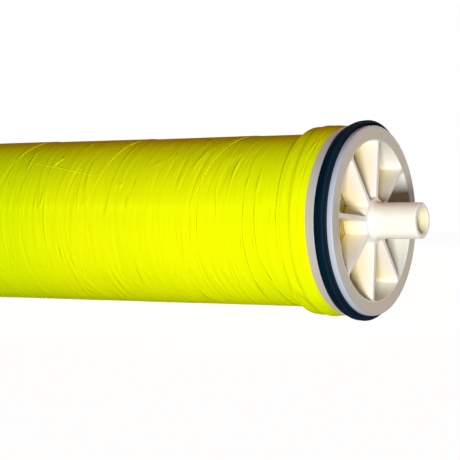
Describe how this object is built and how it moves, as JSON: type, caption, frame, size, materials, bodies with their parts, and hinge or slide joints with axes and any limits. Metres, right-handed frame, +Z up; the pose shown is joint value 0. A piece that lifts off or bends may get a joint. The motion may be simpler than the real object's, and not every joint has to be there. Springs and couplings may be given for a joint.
{
  "type": "reverse osmosis membrane element",
  "caption": "Spiral-wound reverse osmosis element: tape-wrapped membrane roll on a permeate tube, with spoked end caps and a rubber brine seal at the feed end.",
  "frame": {"origin": "on the element's axis, halfway between the two tips of the permeate tube", "axes": "+X along the axis, out of the feed end with the brine seal; +Z up; +Y to the left when looking along +X"},
  "size_m": [1.016, 0.1056, 0.1056],
  "materials": {
    "tube": "satin",
    "carrier_cloth": "matte",
    "end_caps": "satin",
    "seal_rubber": "satin",
    "wrap_tape": "satin",
    "membrane": "satin",
    "spacer_net": "matte",
    "glue": "gloss"
  },
  "bodies": {
    "root": {"permeate_tube": "tube", "carrier_core_wrap": "carrier_cloth", "feed_end_cap": "end_caps", "concentrate_end_cap": "end_caps", "brine_seal": "seal_rubber", "outer_wrap": "wrap_tape", "membrane_leaf_1": "membrane", "feed_spacer_1": "spacer_net", "leaf_glue_line_1": "glue", "membrane_leaf_2": "membrane", "feed_spacer_2": "spacer_net", "leaf_glue_line_2": "glue", "membrane_leaf_3": "membrane", "feed_spacer_3": "spacer_net", "leaf_glue_line_3": "glue", "membrane_leaf_4": "membrane", "feed_spacer_4": "spacer_net", "leaf_glue_line_4": "glue", "membrane_leaf_5": "membrane", "feed_spacer_5": "spacer_net", "leaf_glue_line_5": "glue"}
  },
  "joints": []
}
